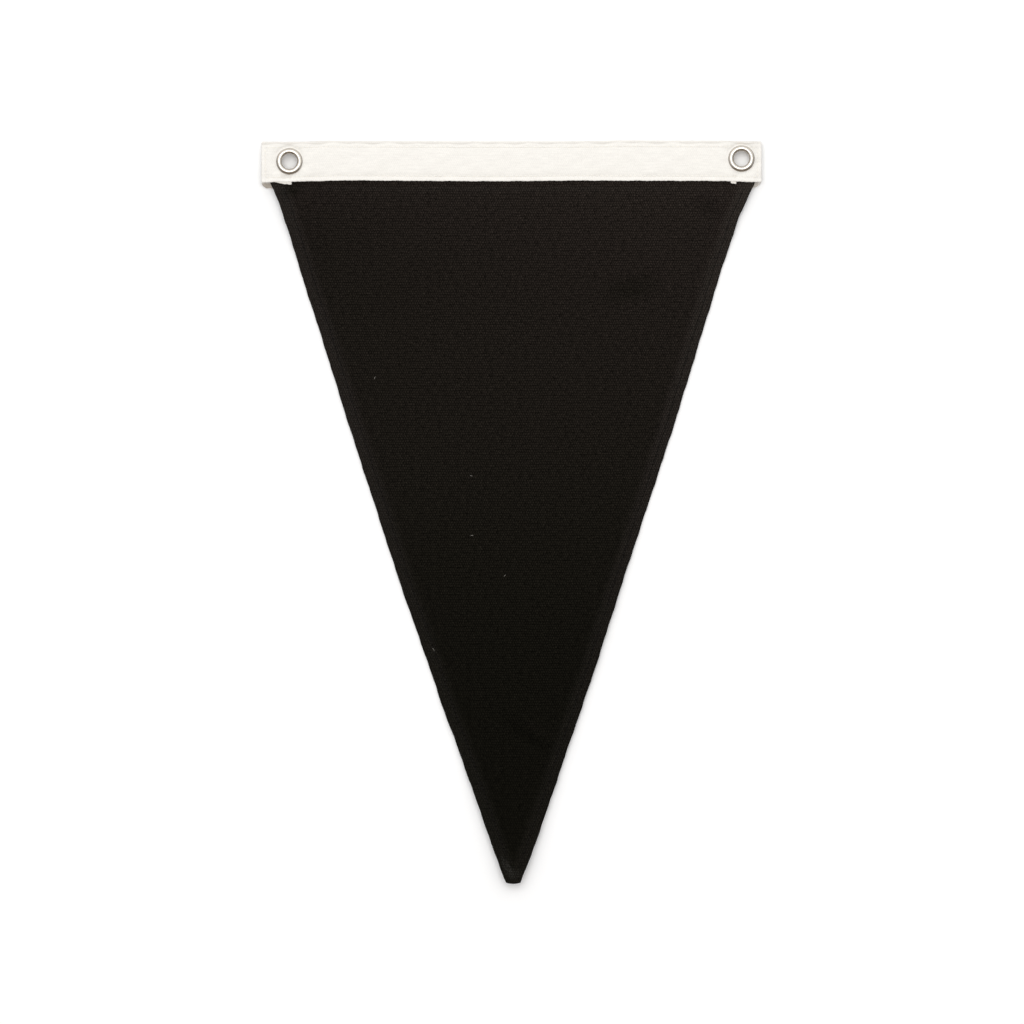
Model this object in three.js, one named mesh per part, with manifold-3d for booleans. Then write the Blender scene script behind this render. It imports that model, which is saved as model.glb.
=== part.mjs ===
import * as THREE from 'three';
import { mergeVertices } from 'three/addons/utils/BufferGeometryUtils.js';
import Module from 'manifold-3d';

const wasm = await Module();
wasm.setup();

// A hemmed pennant that lies face up: X across it, Y from its point to its heading, Z up from the surface.
// Sizes are in millimetres. The origin is on the surface, under the middle of the width and the length.

// Between one piece and the next.
const gap = 0.3;

// The pennant's cloth: one layer of cotton duck, with a hem on both sides that is turned twice to the back.
const cloth = {
  layer: 1.0,
  hemThick: 2.0,
  hemWidth: 7.3,
  hemFade: 9.0, // the front slopes down over this width inside the hem
  foldedEdge: 0.5, // how far the fold rounds off its two faces
  topEdge: 222.4, // sewn in under the heading
  cornerLevel: -225.7, // where the blunt point's corners are
  pointDepth: 1.2, // how far the point bulges below its corners
  pointRound: 12,
};

// The cloth's two sides, from the point to the heading: they bow out a little and flare at the top corners.
const sides = [
  { y: -226, left: -3.6, right: 5.6 },
  { y: -216, left: -7.3, right: 9.4 },
  { y: -191, left: -16.1, right: 18.4 },
  { y: -142, left: -33.4, right: 35.0 },
  { y: -118, left: -42.3, right: 43.3 },
  { y: -94, left: -50.3, right: 51.4 },
  { y: -45, left: -67.4, right: 67.0 },
  { y: 4, left: -83.3, right: 83.1 },
  { y: 53, left: -99.2, right: 99.1 },
  { y: 102, left: -114.4, right: 114.1 },
  { y: 150, left: -129.7, right: 128.8 },
  { y: 168, left: -134.9, right: 134.8 },
  { y: 180, left: -139.0, right: 138.9 },
  { y: 190, left: -142.4, right: 143.3 },
  { y: 196, left: -144.8, right: 146.0 },
  { y: 201, left: -147.1, right: 148.2 },
  { y: 206, left: -147.4, right: 148.8 },
  { y: 223, left: -147.4, right: 148.8 },
];

// Creases, swells and hollows, each a soft ridge or trough: its middle, its direction in degrees from X,
// how far it reaches along and across that direction, and its height.
const folds = [
  { name: 'crease near the point', x: 9, y: -136, turn: -35, along: 36, across: 9, height: -1.3 },
  { name: 'ridge beside the crease', x: 14, y: -127, turn: -35, along: 34, across: 13, height: 1.3 },
  { name: 'swell at the left of the point', x: -14, y: -160, turn: 72, along: 46, across: 15, height: 0.9 },
  { name: 'swell across the lower half', x: 12, y: -62, turn: 12, along: 56, across: 32, height: 1.1 },
  { name: 'swell at the left middle', x: -42, y: 10, turn: 68, along: 70, across: 27, height: 1.2 },
  { name: 'swell at the right middle', x: 50, y: 44, turn: -66, along: 68, across: 26, height: 1.1 },
  { name: 'swell under the heading, right', x: 92, y: 148, turn: -52, along: 46, across: 20, height: 1.3 },
  { name: 'swell under the heading, left', x: -70, y: 148, turn: 34, along: 50, across: 22, height: 1.2 },
];

// The point curls up off the surface, and so does the right side beside it.
const lift = {
  pointHeight: 7.0,
  pointFrom: -92,
  pointBend: 1.7,
  sideHeight: 2.2,
  sideFrom: 8,
  sideTo: -70,
  sideUntil: -205,
};

// The heading: a strip folded over the cloth's top edge, its ends turned in, so it is thicker there.
// The eyelets hold both its ends off the surface, the left one higher.
const heading = {
  halfLength: 152.9,
  half: 1.8, // half the thickness of the whole stack
  endHalf: 2.8, // the same where the strip's ends are turned in
  closedHalf: 1.75, // the same at the closed ends, which the end seams pinch
  slotHalf: 0.8,
  endSlotHalf: 1.3,
  thickensFrom: 112,
  thickensTo: 130,
  closesFrom: 146.5,
  foldDepth: 1.9, // from the top of the fold down to where its faces are flat
  slotTop: 222.9,
  slotBottom: 190,
  edgeRound: 0.5,
  endGroove: 0.9, // between the front's and the back's turned-in ends
  leftLift: 2.3,
  rightLift: 1.4,
  liftFrom: 56,
  liftTo: 126,
  pinch: 0.5, // how deep an eyelet presses each face
  pinchFrom: 8.6,
  pinchTo: 13.5,
};

// Along the heading: its top fold, and the lower edges of its front and back legs.
const strip = [
  { x: -153, top: 226.1, front: 201.0, back: 197.9 },
  { x: -129, top: 226.0, front: 201.6, back: 198.0 },
  { x: -116, top: 226.6, front: 202.0, back: 198.1 },
  { x: -100, top: 226.6, front: 202.4, back: 198.0 },
  { x: -56, top: 226.6, front: 202.2, back: 197.9 },
  { x: -7, top: 226.5, front: 202.0, back: 198.0 },
  { x: 42, top: 226.6, front: 202.4, back: 198.1 },
  { x: 66, top: 227.0, front: 202.3, back: 197.9 },
  { x: 100, top: 226.8, front: 202.2, back: 197.7 },
  { x: 124, top: 226.7, front: 202.0, back: 197.3 },
  { x: 153, top: 226.3, front: 201.3, back: 196.8 },
];

// The strip's turned-in ends show below its front edge in two places.
const tabs = [
  { name: 'left', from: -144.3, to: -134.2, low: 199.8 },
  { name: 'right', from: 135.7, to: 140.0, low: 198.9 },
];
const tab = { high: 206, thick: 0.6, sink: 0.02 };

const eyelets = [
  { name: 'left', x: -135.4, y: 214.0 },
  { name: 'right', x: 140.2, y: 215.7 },
];
const hole = { radius: 5.55, around: 32, tall: 40 };

// One eyelet in section, radius against height over the heading's front face: a domed flange, a barrel and,
// at the back, the lip that is rolled over the washer.
const eyeletSection = [
  { radius: 4.65, height: 0.3 },
  { radius: 5.1, height: 0.95 },
  { radius: 5.8, height: 1.34 },
  { radius: 6.1, height: 1.4 },
  { radius: 6.9, height: 1.4 },
  { radius: 7.35, height: 1.22 },
  { radius: 7.9, height: 0.6 },
  { radius: 8.2, height: 0.0 },
  { radius: 8.15, height: -0.2 },
  { radius: 7.6, height: -0.2 },
  { radius: 7.1, height: 0.6 },
  { radius: 6.1, height: 0.75 },
  { radius: 5.2, height: 0.1 },
  { radius: 5.2, height: -6.3 },
  { radius: 6.8, height: -6.3 },
  { radius: 7.1, height: -6.6 },
  { radius: 6.7, height: -7.0 },
  { radius: 5.6, height: -7.0 },
  { radius: 4.9, height: -6.75 },
  { radius: 4.65, height: -6.3 },
];

// The washer between the heading's back and that lip.
const washerSection = [
  { radius: 5.6, height: -5.4 },
  { radius: 7.9, height: -5.4 },
  { radius: 8.1, height: -5.65 },
  { radius: 7.9, height: -6.0 },
  { radius: 5.6, height: -6.0 },
];

const { clamp, lerp, smoothstep, degToRad } = THREE.MathUtils;

const blackDuck = { color: '#1d1a18', roughness: 0.95, metalness: 0 };
const naturalDuck = { color: '#f4efe3', roughness: 0.9, metalness: 0 };
const nickel = { color: '#c8c4be', roughness: 0.28, metalness: 1 };

// A table's column, read between its rows along a smooth line.
function readTable(rows, key, column, at) {
  const last = rows.length - 1;
  let i = 0;
  while (i < last - 1 && at > rows[i + 1][key]) {
    i += 1;
  }
  const slopeAt = (row) => {
    const before = rows[Math.max(row - 1, 0)];
    const after = rows[Math.min(row + 1, last)];
    return (after[column] - before[column]) / (after[key] - before[key]);
  };
  const span = rows[i + 1][key] - rows[i][key];
  const t = clamp((at - rows[i][key]) / span, 0, 1);
  const rise = t * t * (3 - 2 * t);
  const startBend = t * (1 - t) * (1 - t) * span * slopeAt(i);
  const endBend = t * t * (t - 1) * span * slopeAt(i + 1);
  return lerp(rows[i][column], rows[i + 1][column], rise) + startBend + endBend;
}

// Stations along a line, from stretches with an even step each.
function stationsOf(stretches) {
  const stations = [stretches[0].from];
  for (const { from, to, steps } of stretches) {
    for (let n = 1; n <= steps; n += 1) {
      stations.push(lerp(from, to, n / steps));
    }
  }
  return stations;
}

// A box with a grid on every face, each of its points placed by a function of its column, row and layer.
function shapedBox(columns, rows, layers, place) {
  const across = columns.length - 1;
  const up = rows.length - 1;
  const deep = layers.length - 1;
  const box = new THREE.BoxGeometry(across, up, deep, across, up, deep);
  const points = box.attributes.position;
  for (let n = 0; n < points.count; n += 1) {
    const column = columns[Math.round(points.getX(n) + across / 2)];
    const row = rows[Math.round(points.getY(n) + up / 2)];
    const layer = layers[Math.round(points.getZ(n) + deep / 2)];
    points.setXYZ(n, ...place(column, row, layer));
  }
  return box;
}

function toSolid(geometry) {
  const bare = geometry.clone();
  bare.deleteAttribute('normal');
  bare.deleteAttribute('uv');
  const merged = mergeVertices(bare, 1e-4);
  const vertProperties = merged.attributes.position.array;
  const triVerts = new Uint32Array(merged.index.array);
  return new wasm.Manifold(new wasm.Mesh({ numProp: 3, vertProperties, triVerts }));
}

function toGeometry(solid) {
  const { vertProperties, triVerts } = solid.getMesh();
  const geometry = new THREE.BufferGeometry();
  geometry.setAttribute('position', new THREE.BufferAttribute(vertProperties, 3));
  geometry.setIndex(new THREE.BufferAttribute(triVerts, 1));
  geometry.computeVertexNormals();
  return geometry;
}

// How much an eyelet presses the cloth at this place, from 0 to 1.
function pinchAt(x, y) {
  const reach = Math.min(...eyelets.map((eyelet) => Math.hypot(x - eyelet.x, y - eyelet.y)));
  return 1 - smoothstep(reach, heading.pinchFrom, heading.pinchTo);
}

// The heading in section at one place along it.
function headingAt(x) {
  const thicker = smoothstep(Math.abs(x), heading.thickensFrom, heading.thickensTo);
  const closing = smoothstep(Math.abs(x), heading.closesFrom, heading.halfLength);
  const openHalf = lerp(heading.half, heading.endHalf, thicker);
  const raised = smoothstep(Math.abs(x), heading.liftFrom, heading.liftTo);
  const endLift = x < 0 ? heading.leftLift : heading.rightLift;
  return {
    top: readTable(strip, 'x', 'top', x),
    front: readTable(strip, 'x', 'front', x),
    back: readTable(strip, 'x', 'back', x),
    middle: endLift * raised + openHalf,
    half: lerp(openHalf, heading.closedHalf, closing),
    slotHalf: lerp(heading.slotHalf, heading.endSlotHalf, thicker),
  };
}

// The front face of the heading beside an eyelet, before the eyelet presses it.
function frontFaceAt(x) {
  return headingAt(x).middle + heading.endHalf;
}

function holeCutters() {
  return eyelets.map(({ x, y }) => {
    const cutter = new THREE.CylinderGeometry(hole.radius, hole.radius, hole.tall, hole.around);
    cutter.rotateX(Math.PI / 2);
    cutter.translate(x, y, 0);
    return toSolid(cutter);
  });
}

function withoutHoles(solid) {
  return holeCutters().reduce((left, cutter) => left.subtract(cutter), solid);
}

// The cloth's height off the surface away from the heading: the curled point, the lifted side and the folds.
function looseHeight(x, y, share) {
  const toPoint = clamp((lift.pointFrom - y) / (lift.pointFrom - cloth.cornerLevel), 0, 1);
  const beside = smoothstep(-y, -lift.sideFrom, -lift.sideTo) * (1 - smoothstep(-y, -lift.sideTo, -lift.sideUntil));
  let height = lift.pointHeight * toPoint ** lift.pointBend;
  height += lift.sideHeight * beside * smoothstep(share, 0.45, 1);
  for (const fold of folds) {
    const turn = degToRad(fold.turn);
    const along = ((x - fold.x) * Math.cos(turn) + (y - fold.y) * Math.sin(turn)) / fold.along;
    const across = ((y - fold.y) * Math.cos(turn) - (x - fold.x) * Math.sin(turn)) / fold.across;
    height += fold.height * Math.max(1 - along * along - across * across, 0) ** 2;
  }
  return height;
}

// Where the grid's columns lie between the hem's slope and the middle of the cloth.
const bodyShares = [0.07, 0.16, 0.27, 0.4, 0.55, 0.7, 0.85, 1];

// How far in from the nearer side each column of the cloth's grid lies, up to the middle.
function columnInsets(width) {
  const hem = Math.min(cloth.hemWidth, 0.45 * width);
  const room = width / 2 - hem;
  const step = Math.min(0.4, 0.08 * room);
  const slope = Math.min(cloth.hemFade, 0.6 * room);
  const insets = [0, 0.16 * hem, 0.6 * hem, hem, hem + step, hem + slope / 2, hem + slope];
  for (const share of bodyShares) {
    insets.push(lerp(hem + slope, width / 2, share));
  }
  return { hem, slope, insets };
}

// The cloth's faces at a point: the hem lies on the surface, and the single layer beside it slopes down to it.
function placeCloth(column, row, layer) {
  const left = readTable(sides, 'y', 'left', row);
  const right = readTable(sides, 'y', 'right', row);
  const { hem, slope, insets } = columnInsets(right - left);
  const middleColumn = insets.length - 1;
  const inset = insets[middleColumn - Math.abs(column - middleColumn)];
  const x = column <= middleColumn ? left + inset : right - inset;
  const share = (x - left) / (right - left);

  const bulge = cloth.pointDepth * (1 - (2 * share - 1) ** 2);
  const y = row - bulge * smoothstep(-row, -cloth.cornerLevel - cloth.pointRound, -cloth.cornerLevel);

  const section = headingAt(x);
  const raised = 1 - smoothstep(inset, hem, hem + slope);
  const inHeading = section.middle - cloth.layer / 2 - raised * (cloth.hemThick - cloth.layer) / 2;
  const held = smoothstep(y, section.back - 2 - 14 - 10 * inHeading, section.back - 2);
  const loose = Math.max(looseHeight(x, y, share), 0) * (1 - held);
  const under = inHeading * held + loose;

  const high = under + cloth.layer + raised * (cloth.hemThick - cloth.layer);
  const inHem = inset <= hem + 1e-6;
  const low = inHem ? under : high - cloth.layer;
  const atEdge = inset === 0 || row === cloth.cornerLevel;
  const rounding = atEdge ? cloth.foldedEdge : 0;
  return [x, y, lerp(low + rounding, high - rounding, layer)];
}

function makeCloth() {
  const perSide = columnInsets(heading.halfLength).insets.length;
  const columns = Array.from({ length: 2 * perSide - 1 }, (_, n) => n);
  const rows = stationsOf([
    { from: cloth.cornerLevel, to: -216, steps: 4 },
    { from: -216, to: -100, steps: 14 },
    { from: -100, to: 140, steps: 18 },
    { from: 140, to: 204, steps: 15 },
    { from: 204, to: cloth.topEdge, steps: 2 },
  ]);
  const sheet = shapedBox(columns, rows, [0, 1], placeCloth);
  return toGeometry(withoutHoles(toSolid(sheet)));
}

// The heading's outer form. A layer is a share of its half thickness, from the back face to the front one.
function placeHeading(column, row, layer) {
  const section = headingAt(column);
  const atFace = Math.abs(layer) === 1;
  const inside = Math.abs(layer) < 0.5;
  const rounding = atFace || inside ? heading.edgeRound : 0;
  const low = (layer > 0 ? section.front : section.back) + rounding;
  const high = section.top - heading.foldDepth * (1 - Math.sqrt(1 - layer * layer));
  const y = lerp(low, high, row);
  const half = section.half - heading.pinch * pinchAt(column, y);
  const atEnd = Math.abs(column) === heading.halfLength;
  const inward = inside ? heading.endGroove : rounding;
  const x = atEnd ? column - Math.sign(column) * inward : column;
  return [x, y, section.middle + layer * half];
}

function placeSlot(column, row, layer) {
  const section = headingAt(column);
  return [column, row, section.middle + layer * section.slotHalf];
}

function makeHeading() {
  const { halfLength, closesFrom } = heading;
  const columns = stationsOf([
    { from: -halfLength, to: -closesFrom, steps: 3 },
    { from: -closesFrom, to: -124, steps: 10 },
    { from: -124, to: -56, steps: 8 },
    { from: -56, to: 56, steps: 6 },
    { from: 56, to: 124, steps: 8 },
    { from: 124, to: closesFrom, steps: 10 },
    { from: closesFrom, to: halfLength, steps: 3 },
  ]);
  const rows = [0, 0.09, 0.24, 0.39, 0.54, 0.69, 0.85, 1];
  const outer = shapedBox(columns, rows, [-1, -0.72, -0.3, 0.3, 0.72, 1], placeHeading);

  const top = sides[sides.length - 1];
  const slotFrom = top.left - gap;
  const slotTo = top.right + gap;
  const inside = columns.filter((x) => x > slotFrom + 0.2 && x < slotTo - 0.2);
  const slotColumns = [slotFrom, ...inside, slotTo];
  const slot = shapedBox(slotColumns, [heading.slotBottom, heading.slotTop], [-1, 1], placeSlot);

  let strap = toSolid(outer).subtract(toSolid(slot));
  for (const { from, to, low } of tabs) {
    const end = shapedBox([from, to], [low, tab.high], [tab.sink, tab.thick], (column, row, layer) => {
      const section = headingAt(column);
      return [column, row, section.middle + section.slotHalf + layer];
    });
    strap = strap.add(toSolid(end));
  }
  return toGeometry(withoutHoles(strap));
}

function latheOf(section) {
  const profile = [...section, section[0]].map(({ radius, height }) => new THREE.Vector2(radius, height));
  const ring = new THREE.LatheGeometry(profile.reverse(), hole.around);
  return ring.rotateX(Math.PI / 2);
}

function addPiece(group, name, geometry, finish, position = [0, 0, 0]) {
  const piece = new THREE.Mesh(geometry, new THREE.MeshStandardMaterial(finish));
  piece.name = name;
  piece.position.set(...position);
  group.add(piece);
}

const pennant = new THREE.Group();
addPiece(pennant, 'pennant_cloth', makeCloth(), blackDuck);
addPiece(pennant, 'heading_band', makeHeading(), naturalDuck);
for (const { name, x, y } of eyelets) {
  const place = [x, y, frontFaceAt(x)];
  addPiece(pennant, `eyelet_${name}`, latheOf(eyeletSection), nickel, place);
  addPiece(pennant, `washer_${name}`, latheOf(washerSection), nickel, place);
}

export default pennant;
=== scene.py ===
import math

import bpy
import numpy as np
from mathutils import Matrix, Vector


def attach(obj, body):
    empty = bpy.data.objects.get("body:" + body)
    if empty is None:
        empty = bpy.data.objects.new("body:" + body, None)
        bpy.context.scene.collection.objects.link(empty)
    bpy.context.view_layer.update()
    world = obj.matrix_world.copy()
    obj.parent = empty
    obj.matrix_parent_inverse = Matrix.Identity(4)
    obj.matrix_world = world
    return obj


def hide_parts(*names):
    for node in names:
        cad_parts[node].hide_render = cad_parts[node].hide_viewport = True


# A hemmed cotton pennant that lies face up. Lengths here are in millimetres, and meshes are made in metres.
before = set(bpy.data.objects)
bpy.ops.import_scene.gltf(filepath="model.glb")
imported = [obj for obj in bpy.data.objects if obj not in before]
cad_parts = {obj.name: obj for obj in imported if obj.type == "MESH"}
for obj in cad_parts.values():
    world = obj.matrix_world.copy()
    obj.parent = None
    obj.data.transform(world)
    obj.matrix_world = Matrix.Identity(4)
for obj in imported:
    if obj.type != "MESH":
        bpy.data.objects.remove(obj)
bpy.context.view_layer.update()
print("frame loaded:", sorted(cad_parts))

metre = 0.001

picture = {
    "pixels": 1024,
    "pixel": 0.61,  # the width of the surface that one pixel shows
    "originX": 511.5,  # the pixel that the part's origin is at
    "originY": 512.4,
    "plane": 4,  # how high above the surface a pixel is just that wide
    "cameraAbove": 4500,  # how far the camera is above that height
    "sensor": 36,
}

eyelets = [
    {"name": "left", "x": -135.4, "y": 214.0},
    {"name": "right", "x": 140.2, "y": 215.7},
]


def stacked(*parts):
    return np.stack(np.broadcast_arrays(*parts), axis=-1)


def circle(count):
    return np.linspace(0, 2 * math.pi, count, endpoint=False)


def smoothstep(value, low, high):
    # three times the share squared, less twice its cube
    share = np.clip((value - low) / (high - low), 0, 1)
    return share * share * (3 - 2 * share)


def readTable(table, key, column, at):
    # cubic between two stations, with each one's slope taken from its two neighbours
    at = np.asarray(at, float)
    keys = np.array(table[key], float)
    values = np.array(table[column], float)
    last = len(keys) - 1
    station = np.arange(last + 1)
    before = np.maximum(station - 1, 0)
    after = np.minimum(station + 1, last)
    slopes = (values[after] - values[before]) / (keys[after] - keys[before])
    start = np.clip(np.searchsorted(keys, at, side="left") - 1, 0, last - 1)
    span = keys[start + 1] - keys[start]
    share = np.clip((at - keys[start]) / span, 0, 1)
    ease = share * share * (3 - 2 * share)
    startBend = share * (1 - share) ** 2 * span * slopes[start]
    endBend = share * share * (share - 1) * span * slopes[start + 1]
    return values[start] + (values[start + 1] - values[start]) * ease + startBend + endBend


def addBumps(bumps, x, y):
    # each adds its height times the square of one less the squared reach, where that is above zero
    total = np.zeros(np.broadcast(x, y).shape)
    for middleX, middleY, degrees, reachAlong, reachAcross, height in bumps.values():
        turn = math.radians(degrees)
        along = ((x - middleX) * math.cos(turn) + (y - middleY) * math.sin(turn)) / reachAlong
        across = ((y - middleY) * math.cos(turn) - (x - middleX) * math.sin(turn)) / reachAcross
        total += height * np.maximum(1 - along**2 - across**2, 0) ** 2
    return total


# Slow waves, as pressed cloth keeps them: height, radians a millimetre along X and along Y, and start.
waves = [
    (0.05, 0.171, 0.093, 0.6),
    (0.05, -0.127, 0.148, 2.1),
    (0.03, 0.311, 0.267, 4.0),
    (0.03, 0.283, -0.371, 1.2),
]


def unevenness(x, y):
    # the sum of the sines
    return sum(height * np.sin(turnX * x + turnY * y + start) for height, turnX, turnY, start in waves)


heading = {
    "halfLength": 152.5,
    "half": 1.8,  # half the thickness of the whole stack
    "endHalf": 2.8,
    "closedHalf": 1.75,
    "slotHalf": 0.8,
    "endSlotHalf": 1.3,
    "closedSlotHalf": 0.12,
    "thickensFrom": 112,
    "thickensTo": 130,
    "closesFrom": 146.5,
    "slotClosesFrom": 149.3,
    "slotClosesTo": 150.6,
    "foldDepth": 0.9,
    "slotTop": 222.9,
    "slotDepth": 0.8,
    "leftLift": 2.3,
    "rightLift": 1.4,
    "liftFrom": 56,
    "liftTo": 126,
    "pinch": 0.5,
    "pinchFrom": 8.6,
    "pinchTo": 13.5,
    "edgeSteps": 6,
    "edgeRound": 0.6,
    "frontRows": 56,
    "foldRows": 13,
    "backRows": 26,
    "columnsPerStitch": 4,
    "valley": 1.65,  # a crease runs this far below the top fold
    "valleySunk": 0.24,
    "valleyWide": 0.65,
    "swell": 0.12,  # between the seams
    "swellFull": 5,  # this far from them
    "uneven": 1.3,  # how much more uneven than the cloth
    "scallop": 0.07,  # each stitch draws the folded edges in
    "edgeWander": 0.12,
}

# Along the heading: its top fold, and the lower edges of its front and back legs.
strip = {
    "x": [-153, -129, -116, -100, -56, -7, 42, 66, 100, 124, 146, 153],
    "top": [226.1, 226.0, 226.6, 226.6, 226.6, 226.5, 226.6, 227.0, 226.8, 226.7, 226.4, 226.3],
    "front": [201.0, 201.6, 202.0, 202.4, 202.2, 202.0, 202.4, 202.3, 202.2, 202.0, 201.4, 201.2],
    "back": [197.9, 198.0, 198.1, 198.0, 197.9, 198.0, 198.1, 197.9, 197.7, 197.5, 198.0, 199.2],
}


def headingAt(x):
    # one section across the strip: its edges, and its thickness that grows to the ends and closes there
    thicker = smoothstep(np.abs(x), heading["thickensFrom"], heading["thickensTo"])
    closing = smoothstep(np.abs(x), heading["closesFrom"], heading["halfLength"])
    slotClosing = smoothstep(np.abs(x), heading["slotClosesFrom"], heading["slotClosesTo"])
    openHalf = heading["half"] + (heading["endHalf"] - heading["half"]) * thicker
    raised = smoothstep(np.abs(x), heading["liftFrom"], heading["liftTo"])
    endLift = np.where(x < 0, heading["leftLift"], heading["rightLift"])
    slotHalf = heading["slotHalf"] + (heading["endSlotHalf"] - heading["slotHalf"]) * thicker
    return {
        **{edge: readTable(strip, "x", edge, x) for edge in ("top", "front", "back")},
        "middle": endLift * raised + openHalf,
        "half": openHalf + (heading["closedHalf"] - openHalf) * closing,
        "slotHalf": slotHalf + (heading["closedSlotHalf"] - slotHalf) * slotClosing,
    }


# The cloth's two sides at stations from the point to the heading.
sides = {
    "y": [-226, -216, -191, -142, -118, -94, -45, 4, 53, 102, 150, 168, 180, 190, 196, 201, 206, 223],
    "left": [
        -3.2, -7.3, -16.1, -33.4, -42.3, -50.3, -67.4, -83.3, -99.2,
        -114.4, -129.7, -134.9, -139.0, -142.4, -144.8, -147.1, -147.4, -147.4,
    ],
    "right": [
        5.3, 9.4, 18.4, 35.0, 43.3, 51.4, 67.0, 83.1, 99.1,
        114.1, 128.8, 134.8, 138.9, 143.3, 146.0, 148.2, 148.8, 148.8,
    ],
}

# The folded edges wander: height, radians a millimetre, and how often the side's phase goes into the start.
edgeWaves = [(0.05, 0.83, 4.1), (0.1, 0.41, 2.3), (0.1, 0.173, 1.7)]

edgePhases = {"left": 0.4, "right": 2.9}


def clothSides(row):
    # the two sides' x on a row, with the waves added
    found = []
    for side, phase in edgePhases.items():
        wave = sum(height * np.sin(turn * row + start * phase) for height, turn, start in edgeWaves)
        found.append(readTable(sides, "y", side, row) + wave)
    return found


cloth = {
    "layer": 1.0,
    "hemThick": 2.0,
    "hemWidth": 7.3,
    "hemShare": 0.45,  # or this share of the width, where the cloth is narrow
    "hemFade": 9.0,  # the front slopes down over this width inside the hem
    "fadeShare": 0.6,
    "hemStep": 0.5,  # the hem's inner fold on the back
    "foldRound": 0.9,  # how far in the folded edge rounds off
    "filledBelow": 17,  # where the cloth is this narrow its two hems meet
    "openAbove": 27,
    "topEdge": 222.4,
    "cornerLevel": -225.7,
    "pointDepth": 0.7,
    "pointRound": 12,
    "deepest": 0.6,  # of a layer, for any mark
    "rowStep": 1.45,
    "heldFrom": 16,  # the heading holds the cloth down from here below its back edge
    "heldGain": 10,  # and further out where it stands higher
    "foldColumns": 6,
    "hemColumns": 12,
    "fadeColumns": 8,
    "bodyColumns": 30,
}

# How the cloth stands off the surface at its point and along its lower right side.
lift = {
    "pointHeight": 7.0,
    "pointFrom": -92,
    "pointBend": 1.7,
    "sideHeight": 2.2,
    "sideFrom": 8,
    "sideTo": -70,
    "sideUntil": -205,
    "sideShare": 0.45,  # of the width, from the left, where the side begins to lift
}

# Creases and swells: middle x and y, direction in degrees from X, reach along and across it, height.
folds = {
    "crease near the point": (9, -136, -35, 36, 9, -1.3),
    "ridge beside the crease": (14, -127, -35, 34, 13, 1.3),
    "swell left of the point": (-14, -160, 72, 46, 15, 0.9),
    "swell, lower half": (12, -62, 12, 56, 32, 1.1),
    "swell, left middle": (-42, 10, 68, 70, 27, 1.2),
    "swell, right middle": (50, 44, -66, 68, 26, 1.1),
    "swell, upper right": (92, 148, -52, 46, 20, 1.3),
    "swell, upper left": (-70, 148, 34, 50, 22, 1.2),
}


def looseHeight(x, y, share):
    # a power of the way to the point, a hump along the lower right side, and the folds
    toPoint = np.clip((lift["pointFrom"] - y) / (lift["pointFrom"] - cloth["cornerLevel"]), 0, 1)
    beside = smoothstep(-y, -lift["sideFrom"], -lift["sideTo"])
    beside = beside * (1 - smoothstep(-y, -lift["sideTo"], -lift["sideUntil"]))
    height = lift["pointHeight"] * toPoint ** lift["pointBend"]
    height = height + lift["sideHeight"] * beside * smoothstep(share, lift["sideShare"], 1)
    return height + addBumps(folds, x, y)


def hemWidths(width):
    # how wide the hem and the slope inside it are
    hem = np.minimum(cloth["hemWidth"], cloth["hemShare"] * width)
    return hem, np.minimum(cloth["hemFade"], cloth["fadeShare"] * (width / 2 - hem))


seams = {
    "pitch": 2.9,  # about 9 stitches to the inch
    "bottom": 3.0,  # above the front leg's lower edge
    "top": 3.7,  # below the top fold
    "end": 2.4,  # in from each end
    "hemLeft": 6.5,  # in from the cloth's sides
    "hemRight": 4.9,
    "hemLeftTo": -207,
    "hemRightTo": -214,
    "hemTop": 199,
    "clear": 8.4,  # no stitch is this near an eyelet's middle
    "endFrom": 204.5,
    "endTo": 222.5,
    "sunk": 0.24,  # how deep a seam pulls the heading in
    "wide": 1.25,
    "topShare": 0.3,  # of that depth for the top seam's front
    "most": 1.1,  # of it where two seams cross
    "hemSunk": 0.2,
    "hemWide": 0.75,
    "hemStretch": 0.95,  # the hems slope, so their stitches are closer together up the picture
}

noSeam = 9.0  # far from any needle hole

# Smaller marks that the cloth's solid leaves out, in the folds' order.
marks = {
    "hem corner folded over at the point": (-2.3, -216, -60, 12, 2.6, 0.55),
    "dent at the right of the point": (6.5, -221, 20, 3.5, 1.6, -0.4),
    "dent below the left eyelet": (-136, 194, 20, 13, 7, -0.7),
    "dent below the right eyelet": (121, 186, -25, 16, 8, -0.6),
    "dent at the upper right": (72, 136, 15, 22, 11, -0.5),
}


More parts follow.
